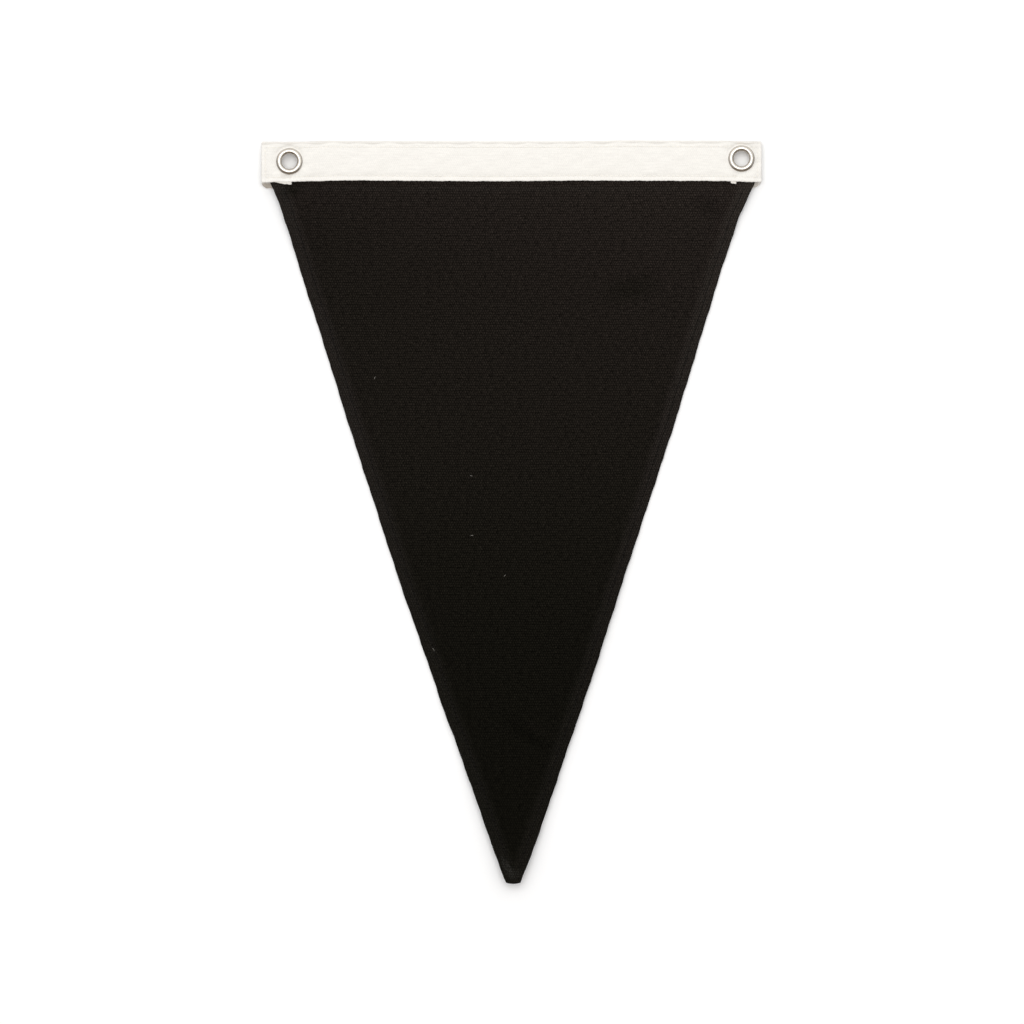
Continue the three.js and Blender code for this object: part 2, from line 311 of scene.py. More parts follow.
def clothAt(inset, fromLeft, row):
    # the cloth's two faces at a distance in from its left or right side, on one row
    left, right = clothSides(row)
    width = right - left
    hem, slope = hemWidths(width)
    x = np.where(fromLeft, left + inset, right - inset)
    share = (x - left) / width
    bulge = cloth["pointDepth"] * (1 - (2 * share - 1) ** 2)
    level = -cloth["cornerLevel"]
    y = row - bulge * smoothstep(-row, level - cloth["pointRound"], level)

    section = headingAt(x)
    meeting = 1 - smoothstep(width, cloth["filledBelow"], cloth["openAbove"])
    raised = np.maximum(1 - smoothstep(inset, hem, hem + slope), meeting)
    extra = raised * (cloth["hemThick"] - cloth["layer"])
    inHeading = section["middle"] - cloth["layer"] / 2 - extra / 2
    heldFrom = section["back"] - cloth["heldFrom"] - cloth["heldGain"] * inHeading
    held = smoothstep(y, heldFrom, section["back"] - 2)
    loose = np.maximum(looseHeight(x, y, share), 0) * (1 - held)
    under = inHeading * held + loose
    high = under + cloth["layer"] + extra
    inHem = 1 - smoothstep(inset, hem, hem + cloth["hemStep"])
    low = high - cloth["layer"] - inHem * (high - cloth["layer"] - under)

    free = 1 - smoothstep(y, section["back"] - 4, section["back"])
    seamInset = np.where(fromLeft, seams["hemLeft"], seams["hemRight"])
    groove = np.exp(-(((inset - seamInset) / seams["hemWide"]) ** 2))
    detail = addBumps(marks, x, y) + unevenness(x, y) - seams["hemSunk"] * groove
    high = high + free * np.maximum(detail, -cloth["deepest"] * cloth["layer"])
    low = low + free * seams["hemSunk"] * groove * inHem
    return x, y, high, low


def clothGrids():
    # half the columns run in from each side: round the fold, over the hem, down its slope, to the middle
    turns = np.linspace(0, math.pi / 2, cloth["foldColumns"] + 1)
    foldInsets = cloth["foldRound"] * (1 - np.cos(turns))
    lowest = cloth["cornerLevel"] + cloth["foldRound"]
    rows = np.linspace(lowest, cloth["topEdge"], round((cloth["topEdge"] - lowest) / cloth["rowStep"]) + 1)
    endRows = cloth["cornerLevel"] + foldInsets
    rows = np.concatenate([endRows[:-1], rows])
    endRound = np.concatenate([np.sin(turns)[:-1], np.ones(len(rows) - cloth["foldColumns"])])
    endRound[-1] = 0

    left = readTable(sides, "y", "left", rows)
    right = readTable(sides, "y", "right", rows)
    width = (right - left)[:, None]
    hem, slope = hemWidths(width)
    step = np.minimum(cloth["hemStep"], 0.3 * slope)
    columns = [cloth[part] for part in ("hemColumns", "fadeColumns", "bodyColumns")]
    hemShares, fadeShares, bodyShares = [np.linspace(0, 1, count + 1)[1:] for count in columns]
    edge = np.minimum(foldInsets[None, :], 0.1 * width)
    parts = [
        edge,
        edge[:, -1:] + (hem - edge[:, -1:]) * hemShares,
        hem + step * 0.5,
        hem + step + (slope - step) * fadeShares,
        hem + slope + (width / 2 - hem - slope) * bodyShares,
    ]
    insets = np.hstack(parts)
    edgeRound = np.concatenate([np.sin(turns), np.ones(insets.shape[1] - len(turns))])
    fromLeft = np.hstack([np.ones(insets.shape, bool), np.zeros(insets[:, :-1].shape, bool)])
    insets = np.hstack([insets, insets[:, -2::-1]])
    edgeRound = np.concatenate([edgeRound, edgeRound[-2::-1]])
    x, y, high, low = clothAt(insets, fromLeft, rows[:, None])
    middle = (high + low) / 2
    thick = (high - low) / 2 * edgeRound[None, :] * endRound[:, None]
    front = stacked(x, y, middle + thick)
    back = stacked(x, y, middle - thick)
    return front, back, stacked(x, y)


# The black is painted paler towards the heading: a painted sheen, as from light above the heading.
sheenTone = {
    "y": [-226, -145, -84, -23, 38, 99, 160, 200],
    "tone": [0.315, 0.322, 0.372, 0.462, 0.575, 0.65, 0.73, 0.9],
}

# Between these heights the cloth also begins to turn paler to the right, by this share a millimetre.
sideways = {"paler": 0.001, "from": 0, "to": 160}

# The folded hems are painted paler by these shares, a painted highlight where they catch the light, fading
# out between two distances, and partly grey.
paleGrey = {"left": 0.25, "right": 0.4, "from": 5.5, "to": 11.5, "grey": 0.52, "greyRight": 0.8}

# Where the black cloth is painted paler grey, in the folds' order with the share as the height; the line
# under the heading is a painted highlight along a ridge.
greyPatches = {
    "hem corner at the point": (-2.6, -216.6, -61, 10, 3.0, 0.95),
    "hem end right of it": (1.8, -220.5, -10, 6, 4.5, 0.4),
    "line under the heading": (0, 197.4, 0, 260, 1.5, 0.35),
}

# Where the cloth is painted darker or paler, in the folds' order with the change of tone as the height:
# painted shade on the patches over low swells and in the crease, and a painted highlight on the ridge beside
# it.
paintedShading = {
    "patch below the left eyelet": (-136, 196, 20, 12, 7, -0.3),
    "patch below the right eyelet": (121, 186, -25, 16, 9, -0.22),
    "patch at the upper right": (72, 136, 15, 24, 12, -0.22),
    "ridge beside the crease": (17, -133, -35, 16, 5, 0.25),
    "crease near the point": (8, -136, -35, 24, 4, -0.22),
}


def clothMarks(x, y):
    # how far each point is from the two hem seams, its tone, and how far it is painted grey; the tone holds
    # the painted sheen, the hems' painted highlight, and painted shade and highlight over the folds
    left, right = clothSides(y)
    stretch = seams["hemStretch"]
    below = y < seams["hemTop"]
    leftAway = np.where(below & (y > seams["hemLeftTo"]), (x - left - seams["hemLeft"]) * stretch, noSeam)
    rightAway = np.where(below & (y > seams["hemRightTo"]), (right - x - seams["hemRight"]) * stretch, noSeam)
    seam = stacked(leftAway, rightAway, noSeam)
    # the hems get a painted highlight
    leftHem = 1 - smoothstep(x - left, paleGrey["from"], paleGrey["to"])
    rightHem = 1 - smoothstep(right - x, paleGrey["from"], paleGrey["to"])
    hem = np.maximum(paleGrey["left"] * leftHem, paleGrey["right"] * rightHem)
    paler = sideways["paler"] * x * smoothstep(y, sideways["from"], sideways["to"])
    # the painted sheen towards the heading, and a paler right side
    coloured = readTable(sheenTone, "y", "tone", y) * (1 + paler)
    greyShare = addBumps(greyPatches, x, y) + paleGrey["grey"] * coloured * np.maximum(leftHem, paleGrey["greyRight"] * rightHem)
    # the tone takes the hems' painted highlight and the painted shade and highlight of the table
    return seam, coloured * (1 + hem) * (1 + addBumps(paintedShading, x, y)), greyShare


# What an eyelet does to the cloth. The distances are from its middle.
press = {
    "ring": 9.1,
    "wide": 0.7,
    "least": 0.08,
    "upper": 0.42,
    "wrinklesFrom": 8.2,
    "wrinklesFull": 9.5,
    "wrinklesFade": 10.5,
    "wrinklesTo": 16,
}


def pressAt(x, y):
    # an eyelet presses a ring round itself, deepest above it, and pulls the cloth into short wrinkles
    total = np.zeros(np.broadcast(x, y).shape)
    for eyelet in eyelets:
        reach = np.hypot(x - eyelet["x"], y - eyelet["y"])
        angle = np.arctan2(y - eyelet["y"], x - eyelet["x"])
        upper = 0.5 + 0.5 * np.sin(angle)
        ring = np.exp(-(((reach - press["ring"]) / press["wide"]) ** 2))
        ring = ring * (press["least"] + press["upper"] * upper**2)
        window = smoothstep(reach, press["wrinklesFrom"], press["wrinklesFull"])
        window = window * (1 - smoothstep(reach, press["wrinklesFade"], press["wrinklesTo"]))
        wrinkles = 0.1 * np.cos(7 * angle + 0.9) + 0.07 * np.cos(11 * angle + eyelet["x"])
        total += ring + window * wrinkles
    return total


def eyeletReach(x, y):
    # the distance from the nearer eyelet's middle
    return np.min([np.hypot(x - eyelet["x"], y - eyelet["y"]) for eyelet in eyelets], axis=0)


def pinchAt(x, y):
    return 1 - smoothstep(eyeletReach(x, y), heading["pinchFrom"], heading["pinchTo"])


def seamAways(x, y, section):
    # how far a point is above the bottom seam and the top seam, and inward of an end seam
    bottom = y - section["front"] - seams["bottom"]
    top = y - section["top"] + seams["top"]
    return bottom, top, heading["halfLength"] - np.abs(x) - seams["end"]


def grooveAt(away):
    # a bell curve over a seam
    return np.exp(-((away / seams["wide"]) ** 2))


valleyDip = {"x": -43, "wide": 6, "deep": 0.5}


def valleyAt(x, y, section):
    # the crease below the top fold wanders along the strip, and dips once
    dip = np.exp(-(((x - valleyDip["x"]) / valleyDip["wide"]) ** 2))
    wander = 0.35 * np.sin(0.363 * x + 0.5) + 0.25 * np.sin(0.217 * x + 2) + valleyDip["deep"] * dip
    away = y - section["top"] + heading["valley"] + wander
    return away, np.exp(-((away / heading["valleyWide"]) ** 2))


def headingRelief(x, y, section):
    # the seams pull the cloth in, and it swells between them
    full = heading["swellFull"]
    bottom, top, end = seamAways(x, y, section)
    stitched = grooveAt(bottom) + seams["topShare"] * grooveAt(top) + grooveAt(end)
    stitched = np.minimum(stitched, seams["most"])
    between = smoothstep(bottom, 0, full) * (1 - smoothstep(top, -full, 0))
    creased = seams["sunk"] * stitched + heading["valleySunk"] * valleyAt(x, y, section)[1]
    return heading["swell"] * between - creased + heading["uneven"] * unevenness(1.4 * x, 1.9 * y)


def headingFront(x, y, section):
    # the middle plus half the thickness, pinched and pressed at the eyelets
    flat = section["middle"] + section["half"] - heading["pinch"] * pinchAt(x, y) - pressAt(x, y)
    return flat + headingRelief(x, y, section)


def headingBack(x, y, section):
    # the middle less half the thickness, with both seams' grooves
    bottom, top, _ = seamAways(x, y, section)
    stitched = np.minimum(grooveAt(bottom) + grooveAt(top), 1)
    return section["middle"] - section["half"] + heading["pinch"] * pinchAt(x, y) + seams["sunk"] * stitched


# The back leg's lower corners are rounded and bend down to the surface.
corners = {
    "round": 3.8,
    "frontRound": 1.1,
    "bendLeft": 2.7,
    "bendRight": 1.8,
    "bendFrom": 142,
    "bendTo": 148,
    "flat": 0.3,
    "tall": 4.2,
    # the strip below the front leg's edge is painted darker: painted shade where the back leg turns away from
    # the light under that edge
    "shadeLeft": 0.72,
    "shadeRight": 0.85,
}


def rounding(x, radius):
    # how far an edge has risen where it rounds off into the strip's end
    share = np.clip((np.abs(x) - heading["halfLength"] + radius) / radius, 0, 1)
    return radius * (1 - np.sqrt(1 - share**2))


def cornerBend(x, y, section):
    # most at the outer end and the lower edge, and none above the corner
    bend = np.where(x < 0, corners["bendLeft"], corners["bendRight"])
    outward = smoothstep(np.abs(x), corners["bendFrom"], corners["bendTo"])
    bendTo = section["back"] + corners["flat"]
    return bend * outward * (1 - smoothstep(y, bendTo, section["back"] + corners["tall"]))


def headingGrids():
    # rows follow the strip from its front edge over the top fold to its back edge; columns run along it
    length = heading["halfLength"]
    edge = heading["edgeRound"]
    turns = np.linspace(0, math.pi / 2, heading["edgeSteps"] + 1)
    inward = edge * (1 - np.cos(turns))
    count = round(2 * length / seams["pitch"]) * heading["columnsPerStitch"]
    flat = np.linspace(edge - length, length - edge, count + 1)
    x = np.concatenate([inward[:-1] - length, flat, length - inward[-2::-1]])[None, :]
    endRound = np.concatenate([np.sin(turns)[:-1], np.ones(len(flat)), np.sin(turns)[-2::-1]])
    section = headingAt(x)
    middle, half, slotHalf = section["middle"], section["half"], section["slotHalf"]
    scallop = heading["scallop"] * np.cos(2 * math.pi * x / seams["pitch"])
    scallop = scallop + heading["edgeWander"] * np.sin(0.47 * x) * np.sin(0.13 * x + 1)
    inward = inward[:, None]

    def leg(low, high, steps):
        # up one leg: round its folded edge, then evenly to the top
        shares = np.linspace(0, 1, steps + 1)[1:, None]
        return np.vstack([low + inward, low + edge + (high - low - edge) * shares])

    flatTop = section["top"] - heading["foldDepth"]
    slotBase = heading["slotTop"] - heading["slotDepth"] + 0 * x
    lowFront = section["front"] + scallop + rounding(x, corners["frontRound"])
    lowBack = section["back"] + scallop + rounding(x, corners["round"])
    frontY = leg(lowFront, flatTop, heading["frontRows"])
    frontInnerY = leg(lowFront, slotBase, heading["frontRows"])
    frontZ = headingFront(x, frontY, section)
    turn = np.linspace(0, math.pi, heading["foldRows"] + 2)[1:-1, None]
    foldY = flatTop + heading["foldDepth"] * np.sin(turn)
    foldZ = middle + half * np.cos(turn) + (frontZ[-1] - middle - half) * np.cos(turn / 2) ** 2
    foldInnerY = slotBase + heading["slotDepth"] * np.sin(turn)
    foldInnerZ = middle + slotHalf * np.cos(turn)
    backY = leg(lowBack, flatTop, heading["backRows"])[::-1]
    backInnerY = leg(lowBack, slotBase, heading["backRows"])[::-1]
    backZ = headingBack(x, backY, section) - cornerBend(x, backY, section)
    backInnerZ = middle - slotHalf - cornerBend(x, backInnerY, section)

    outerY = np.vstack([frontY, foldY, backY])
    outerZ = np.vstack([frontZ, foldZ, backZ])
    innerY = np.vstack([frontInnerY, foldInnerY, backInnerY])
    innerZ = np.vstack([middle + slotHalf + 0 * frontInnerY, foldInnerZ, backInnerZ])
    rim = np.ones(outerY.shape)
    rim[: len(turns)] = np.sin(turns)[:, None]
    rim[-len(turns):] = np.sin(turns)[::-1, None]
    rim = (rim * endRound[None, :])[..., None]
    outer = stacked(x, outerY, outerZ)
    inner = stacked(x, innerY, innerZ)
    core = (outer + inner) / 2
    steps = np.linalg.norm(np.diff(outer, axis=0), axis=-1)
    around = np.vstack([lowFront, lowFront + np.cumsum(steps, axis=0)])
    weave = stacked(x, around)
    return core + (outer - core) * rim, core + (inner - core) * rim, weave


# How much darker the heading is painted over its top fold, in the crease, along the seam and round the
# eyelets: painted shade where these turn away from the light or sink in.
paintedShade = {"fold": 0.07, "valley": 0.03, "seam": 0.02, "press": 0.16, "pressMost": 0.5}


def headingMarks(x, y):
    # how far each point is from the bottom, top and end seams, and its tone with its painted shade; nothing
    # is painted grey
    section = headingAt(x)
    bottomAway, topAway, endAway = seamAways(x, y, section)
    onFront = y > section["front"]
    endAway = np.where(onFront, endAway, noSeam)
    valleyAway, valley = valleyAt(x, y, section)
    # painted shade over the top fold, in the crease, along the bottom seam and in the pressed rings round the
    # eyelets
    shaded = paintedShade["fold"] * smoothstep(valleyAway, -0.3, 0.5) + paintedShade["valley"] * valley
    pressed = np.clip(pressAt(x, y), 0, paintedShade["pressMost"])
    shaded = shaded + paintedShade["seam"] * grooveAt(bottomAway) + paintedShade["press"] * pressed
    # below the front leg's edge the strip takes the painted shade
    underneath = np.where(x < 0, corners["shadeLeft"], corners["shadeRight"])
    return stacked(bottomAway, topAway, endAway), np.where(onFront, 1 - shaded, underneath), 0 * x


def markPoints(piece, marksAt):
    # keeps each point's distances from the seams, its tone and how far it is painted grey, for the material
    mesh = piece.data
    points = np.empty(len(mesh.vertices) * 3)
    mesh.vertices.foreach_get("co", points)
    seam, tone, greyShare = marksAt(*(points.reshape(-1, 3)[:, :2] / metre).T)
    mesh.attributes.new("seam", "FLOAT_VECTOR", "POINT").data.foreach_set("vector", seam.ravel())
    for name, values in (("tone", tone), ("greyShare", greyShare)):
        mesh.attributes.new(name, "FLOAT", "POINT").data.foreach_set("value", values)


def addObject(name, data):
    made = bpy.data.objects.new(name, data)
    bpy.context.scene.collection.objects.link(made)
    return made


def addPiece(name, points, faces, finish):
    mesh = bpy.data.meshes.new(name)
    mesh.from_pydata(points * metre, [], faces)
    mesh.polygons.foreach_set("use_smooth", np.ones(len(faces), bool))
    mesh.materials.append(finish)
    mesh.update()
    return addObject(name, mesh)


def closedSheet(name, front, back, weave, finish):
    # the front grid and the back grid share the points of their rim
    rows, columns = front.shape[:2]
    frontIndex = np.arange(rows * columns).reshape(rows, columns)
    backIndex = frontIndex.copy()
    inside = np.arange((rows - 2) * (columns - 2)).reshape(rows - 2, columns - 2)
    backIndex[1:-1, 1:-1] = rows * columns + inside

    def quads(index, order):
        quad = [index[:-1, :-1], index[:-1, 1:], index[1:, 1:], index[1:, :-1]]
        return stacked(*quad[::order]).reshape(-1, 4)

    def both(grid, other):
        return np.vstack([grid.reshape(-1, grid.shape[-1]), other[1:-1, 1:-1].reshape(-1, grid.shape[-1])])

    faces = np.vstack([quads(frontIndex, 1), quads(backIndex, -1)])
    piece = addPiece(name, both(front, back), faces, finish)
    loops = piece.data.loops
    corner = np.empty(len(loops), np.int32)
    loops.foreach_get("vertex_index", corner)
    layer = piece.data.uv_layers.new(name="weave")
    layer.data.foreach_set("uv", (both(weave, weave)[corner] * metre).astype(np.float32).ravel())
    return piece


def tubeFaces(rings, around):
    # the walls between rings of points, and the two caps
    index = np.arange(rings * around).reshape(rings, around)
    after = np.roll(index, -1, axis=1)
    walls = stacked(index[:-1], after[:-1], after[1:], index[1:]).reshape(-1, 4)
    return walls, [index[0][::-1], index[-1]]


hole = {"radius": 5.55, "around": 96, "tall": 40}


def punchHoles(piece):
    # a round cutter for each eyelet, taken away again once the cut is part of the mesh
    cutters = []
    for eyelet in eyelets:
        angle = circle(hole["around"])
        x = eyelet["x"] + hole["radius"] * np.cos(angle)
        y = eyelet["y"] + hole["radius"] * np.sin(angle)
        rings = [stacked(x, y, end * hole["tall"] / 2) for end in (-1, 1)]
        walls, caps = tubeFaces(2, hole["around"])
        mesh = bpy.data.meshes.new("cutter")
        mesh.from_pydata(np.vstack(rings) * metre, [], [face.tolist() for face in (*walls, *caps)])
        cutter = addObject("cutter", mesh)
        cutters.append(cutter)
        cut = piece.modifiers.new("eyelet hole", "BOOLEAN")
        cut.operation = "DIFFERENCE"
        cut.solver = "EXACT"
        cut.object = cutter
    depsgraph = bpy.context.evaluated_depsgraph_get()
    cutMesh = bpy.data.meshes.new_from_object(
        piece.evaluated_get(depsgraph), preserve_all_data_layers=True, depsgraph=depsgraph
    )
    piece.modifiers.clear()
    old = piece.data
    piece.data = cutMesh
    bpy.data.meshes.remove(old)
    cutMesh.name = piece.name
    for cutter in cutters:
        mesh = cutter.data
        bpy.data.objects.remove(cutter)
        bpy.data.meshes.remove(mesh)


def linear(hexColour):
    # sRGB hex to linear red, green and blue
    values = [int(hexColour[i:i + 2], 16) / 255 for i in (1, 3, 5)]
    return [v / 12.92 if v <= 0.04045 else ((v + 0.055) / 1.055) ** 2.4 for v in values] + [1.0]


def nodeAdder(tree):
    # empties a tree and gives the one function that adds a node to it, with its settings and links
    tree.nodes.clear()

    def add(kind, inputs=(), **settings):
        # inputs go by place or by name, and each is a value, a node whose first output goes in, or an output
        node = tree.nodes.new("ShaderNode" + kind)
        for name, value in settings.items():
            setattr(node, name, value)
        for socket, value in inputs.items() if isinstance(inputs, dict) else enumerate(inputs):
            if isinstance(value, bpy.types.Node):
                value = value.outputs[0]
            if isinstance(value, bpy.types.NodeSocket):
                tree.links.new(value, node.inputs[socket])
            else:
                node.inputs[socket].default_value = value
        return node

    return add


def newMaterial(name):
    material = bpy.data.materials.new(name)
    material.use_nodes = True
    return material, nodeAdder(material.node_tree)


def addShader(add, inputs):
    add("OutputMaterial", {"Surface": add("BsdfPrincipled", inputs)})


def addCotton(add, colour, look, height):
    relief = {"Strength": look["bump"], "Distance": look["relief"] * metre, "Height": height}
    inputs = {"Base Color": colour, "Roughness": look["roughness"], "Specular IOR Level": look["specular"]}
    addShader(add, {**inputs, "Normal": add("Bump", relief)})


# Plain-woven cotton duck is matt. Its thick filling yarns make ribs, and the warp ends cross them.
# The black one is painted darkest between its yarns, a painted shade, so its ribs show all over it.
blackDuck = {
    "name": "black cotton duck, woven and dyed",
    "yarn": "#302a26",
    "between": "#070605",
    "deep": "#eeffea",  # tints the cloth where its tone is lowest
    "paleAt": 0.76,  # and not at all from this tone up
    # the paler grey mixed in, partly a painted highlight
    "paleGrey": "#2f2e2b",
    "rib": 1.5,
    "end": 0.73,
    "dots": 0.42,  # how much the crossings show
    "ribs": 0.34,  # how much the rows show
    "jog": 2.4,  # how far the crossings of one row stray from the next row's
    "slubLong": 3.5,
    "bump": 1.0,
    "relief": 0.16,
    "slub": 0.9,
    "specks": 1.0,
    "roughness": 0.95,
    "specular": 0.012,
    # painted shade in each needle hole
    "needle": -0.6,
    "deepHole": 1.5,
    "seams": [("Y", "X"), ("Y", "Y")],  # along which axis, and where its distance is kept
    "pitch": seams["pitch"] * seams["hemStretch"],
}

# The undyed heading is so pale and even that its weave hardly shows.
naturalDuck = {
    "name": "natural cotton duck, woven and unbleached",
    "yarn": "#f1efeb",
    "between": "#e8e4dc",
    # tints the heading's painted shade, where its tone is lowest
    "deep": "#ecd4b8",
    "paleAt": 0.95,
    "paleGrey": "#ffffff",
    "rib": 1.2,
    "end": 0.6,
    "dots": 0.3,
    "ribs": 0.14,
    "jog": 1.2,
    "slubLong": 9,
    "bump": 1.0,
    "relief": 0.05,
    "slub": 0.085,
    "specks": 0.0,
    "roughness": 0.9,
    "specular": 0.2,
    # painted shade in each needle hole
    "needle": -0.06,
    "deepHole": 0.4,
    "seams": [("X", "X"), ("X", "Y"), ("Y", "Z")],
    "pitch": seams["pitch"],
}

# A needle hole is deepest within the first radius and ends at the second.
needleHole = (0.15, 0.75)

# What both kinds of duck share. The noises' scales are in turns a millimetre.
yarns = {
    "wander": 0.12,
    "stray": 0.9,  # how far the yarns wander off straight
    "grain": 0.9,
    "fuzz": 1.3,
    "specksFrom": 0.6,
    "specksTo": 0.8,
    "deepAt": 0.3,  # the tone that takes the whole of the deep tint
    "greyFrom": 0.43,
    "greyTo": 0.55,
    "greyGain": 2.0,
}


def duckMaterial(duck):
    material, add = newMaterial(duck["name"])
    inMm = add("VectorMath", [add("UVMap", uv_map="weave"), [1 / metre] * 3], operation="MULTIPLY")
    # the yarns wander a little off straight
    wander = add("TexNoise", {"Vector": inMm, "Scale": yarns["wander"], "Detail": 2.0})
    shift = add("Math", [wander, yarns["stray"], -yarns["stray"] / 2], operation="MULTIPLY_ADD")
    split = add("SeparateXYZ", [inMm])
    # thick and thin places run along each filling yarn, and push its crossings aside
    drawn = add("VectorMath", [inMm, (1 / duck["slubLong"], 1 / duck["rib"], 1)], operation="MULTIPLY")
    slubs = add("TexNoise", {"Vector": drawn, "Scale": 1.0, "Detail": 3.0, "Roughness": 0.6})
    jog = add("Math", [slubs, duck["jog"], shift], operation="MULTIPLY_ADD")
    across = add("Math", [split.outputs["X"], jog], operation="ADD")
    along = add("Math", [split.outputs["Y"], shift], operation="ADD")
    endTurn = add("Math", [across, math.pi / duck["end"]], operation="MULTIPLY")
    ribTurn = add("Math", [along, math.pi / duck["rib"]], operation="MULTIPLY")
    endWave = add("Math", [endTurn], operation="COSINE")
    ribWave = add("Math", [ribTurn], operation="COSINE")
    # an end is up where both waves have one sign, and a rib is high along its middle
    over = add("Math", [endWave, ribWave], operation="MULTIPLY")
    rib = add("Math", [ribWave, ribWave], operation="MULTIPLY")
    ribs = add("Math", [rib, duck["ribs"], 0.5 - duck["ribs"] / 2], operation="MULTIPLY_ADD")
    height = add("Math", [over, duck["dots"], ribs], operation="MULTIPLY_ADD", use_clamp=True)

    # single crossings differ, and a few catch the light
    grain = add("TexNoise", {"Vector": inMm, "Scale": yarns["grain"], "Detail": 3.0})
    noises = add("Math", [slubs, grain], operation="ADD")
    uneven = add("Math", [noises, 2 * duck["slub"], 1 - 2 * duck["slub"]], operation="MULTIPLY_ADD")
    fuzz = add("TexNoise", {"Vector": inMm, "Scale": yarns["fuzz"], "Detail": 1.0})
    specks = add("MapRange", [fuzz, yarns["specksFrom"], yarns["specksTo"], 0.0, duck["specks"]])
    shade = add("Math", [uneven, specks], operation="ADD")
    tone = add("Attribute", attribute_name="tone").outputs["Fac"]
    toned = add("Math", [shade, tone], operation="MULTIPLY")

    # a needle hole between each two stitches, darkened with painted shade
    place = add("TexCoord").outputs["Object"]
    stitches = add("VectorMath", [place, [1 / metre / duck["pitch"]] * 3], operation="MULTIPLY")
    counted = add("SeparateXYZ", [stitches])
    aways = add("SeparateXYZ", [add("Attribute", attribute_name="seam").outputs["Vector"]])
    needle = 0.0
    for axis, away in duck["seams"]:
        part = add("Math", [counted.outputs[axis]], operation="FRACT")
        centred = add("Math", [part, duck["pitch"], -duck["pitch"] / 2], operation="MULTIPLY_ADD")
        spot = add("CombineXYZ", [centred, aways.outputs[away]])
        far = add("VectorMath", [spot], operation="LENGTH").outputs["Value"]
        hollow = add("MapRange", [far, *needleHole, 1.0, 0.0], interpolation_type="SMOOTHSTEP")
        needle = add("Math", [hollow, needle], operation="MAXIMUM")
    darker = add("Math", [needle, duck["needle"], 1.0], operation="MULTIPLY_ADD")
    light = add("Math", [toned, darker], operation="MULTIPLY")

    # the yarn colour on the high yarns, with painted shade between them
    colours = {0: height, 6: linear(duck["between"]), 7: linear(duck["yarn"])}
    woven = add("Mix", colours, data_type="RGBA").outputs[2]
    pale = add("MapRange", [tone, yarns["deepAt"], duck["paleAt"]])
    tints = {0: pale, 6: linear(duck["deep"]), 7: linear("#ffffff")}
    tint = add("Mix", tints, data_type="RGBA").outputs[2]
    coloured = add("VectorMath", [woven, tint], operation="MULTIPLY")
    plain = add("VectorMath", {0: coloured, "Scale": light}, operation="SCALE")
    # the paler grey, partly a painted highlight, takes the high yarns first, in patches
    patches = add("MapRange", [fuzz, yarns["greyFrom"], yarns["greyTo"]])
    high = add("Math", [height, add("Attribute", attribute_name="greyShare").outputs["Fac"]], operation="MULTIPLY")
    patchy = add("Math", [patches, high], operation="MULTIPLY")
    greyed = add("Math", [patchy, yarns["greyGain"]], operation="MULTIPLY", use_clamp=True)
    greyMix = {0: greyed, 6: plain, 7: linear(duck["paleGrey"])}
    lowered = add("Math", [needle, -duck["deepHole"], height], operation="MULTIPLY_ADD")
    addCotton(add, add("Mix", greyMix, data_type="RGBA").outputs[2], duck, lowered)
    return material


# The scales of the thread's bands and of the nickel's noises are in turns a metre.
thread = {"plies": 1200.0, "slant": 0.6, "bump": 0.5, "relief": 0.05, "roughness": 0.85, "specular": 0.1}


def threadMaterial(name, hexColour):
    # spun cotton thread: matt, with its plies as fine slanting bands
    material, add = newMaterial(name)
    place = add("TexCoord").outputs["Object"]
    bands = {"Vector": place, "Scale": thread["plies"], "Distortion": thread["slant"]}
    plies = add("TexWave", bands, bands_direction="DIAGONAL")
    addCotton(add, linear(hexColour), thread, plies)
    return material


plate = {
    "colour": "#cdc6bc",
    "smears": 260.0,
    "smearsFrom": 0.35,
    "smearsTo": 0.7,
    "bright": 0.15,
    "dull": 0.27,
    "drawMarks": 2400.0,
    "bump": 0.15,
    "relief": 0.02,
}


def nickelMaterial():
    # nickel plate over pressed brass: bright, faintly warm, with fine draw marks and smears of dullness
    material, add = newMaterial("nickel-plated brass, pressed and bright")
    place = add("TexCoord").outputs["Object"]
    smears = add("TexNoise", {"Vector": place, "Scale": plate["smears"], "Detail": 4.0})
    dulled = {
        "Value": smears,
        "From Min": plate["smearsFrom"],
        "From Max": plate["smearsTo"],
        "To Min": plate["bright"],
        "To Max": plate["dull"],
    }
    fine = add("TexNoise", {"Vector": place, "Scale": plate["drawMarks"], "Detail": 3.0})
    relief = {"Strength": plate["bump"], "Distance": plate["relief"] * metre, "Height": fine}
    addShader(
        add,
        {
            "Base Color": linear(plate["colour"]),
            "Metallic": 1.0,
            "Roughness": add("MapRange", dulled),
            "Normal": add("Bump", relief),
        },
    )
    return material


# The eyelet's flange is a ridge: an arc about its crest, then an even slope on both sides.
dome = {"crest": 6.3, "height": 1.0, "round": 1.5, "slope": 23, "inner": 4.66, "outer": 8.0, "steps": 14}


def domeArc():
    # the flange's front, from the hole to the rim
    slope = math.radians(dome["slope"])
    tilt = np.linspace(-slope, slope, dome["steps"])
    radius = dome["crest"] + dome["round"] * np.sin(tilt)
    arc = stacked(radius, dome["height"] - dome["round"] * (1 - np.cos(tilt)))
    inner = [dome["inner"], arc[0, 1] - (arc[0, 0] - dome["inner"]) * math.tan(slope)]
    outer = [dome["outer"], arc[-1, 1] - (dome["outer"] - arc[-1, 0]) * math.tan(slope)]
    return np.vstack([inner, arc, outer])


# The rest of one eyelet in section, and its washer: radius and height over the heading's front face.
eyeletSection = [
    (8.1, -0.1), (7.9, -0.2), (7.6, -0.2), (7.1, 0.6), (6.1, 0.75), (5.2, 0.1), (5.2, -3.0),
    (5.2, -6.3), (6.8, -6.3), (7.1, -6.6), (6.7, -7.0), (5.6, -7.0), (4.9, -6.75), (4.65, -6.3),
    (4.65, -3.0),
]

washerSection = [(5.6, -5.4), (7.9, -5.4), (8.1, -5.65), (7.9, -6.0), (5.6, -6.0)]

turned = {"smoothings": 2, "around": 96}


